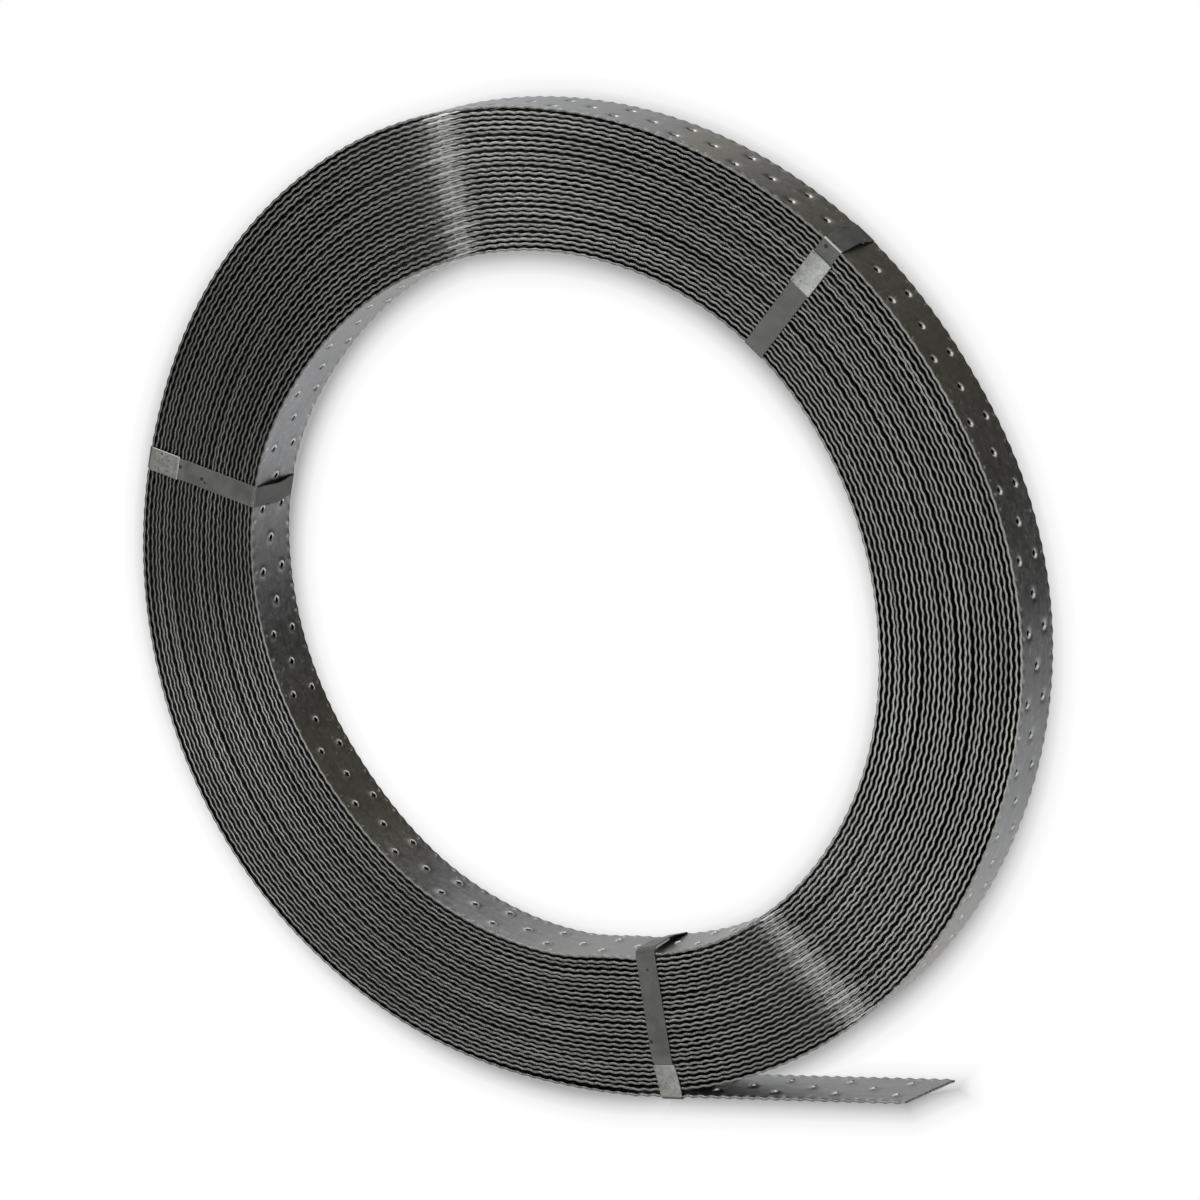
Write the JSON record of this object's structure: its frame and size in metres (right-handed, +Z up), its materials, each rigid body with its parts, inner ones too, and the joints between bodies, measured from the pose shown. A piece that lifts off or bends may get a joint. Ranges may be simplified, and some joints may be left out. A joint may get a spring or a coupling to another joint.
{
  "type": "roll of steel bracing strap",
  "caption": "Roll of punched galvanised steel bracing strap lying on its end, with an open eye, three steel bands with seals, and a straight slant-cut loose end.",
  "frame": {"origin": "centre of the eye, on the roll's axis, midway between its two ends", "axes": "+Z up along the roll's axis, -Y towards the front, where the strap leaves the roll, +X along the loose end to its tip"},
  "size_m": [0.446, 0.446, 0.0316],
  "materials": {
    "galvanised_strap": "galvanised sheet, dull, with bare sheared edges",
    "band_steel": "dull dark grey steel strapping",
    "seal_steel": "bright zinc-coated sheet, mottled"
  },
  "bodies": {
    "root": {"strap_roll": "galvanised_strap", "front_band": "band_steel", "right_band": "band_steel", "left_band": "band_steel", "front_seal": "seal_steel", "right_seal": "seal_steel", "left_seal": "seal_steel"}
  },
  "joints": []
}
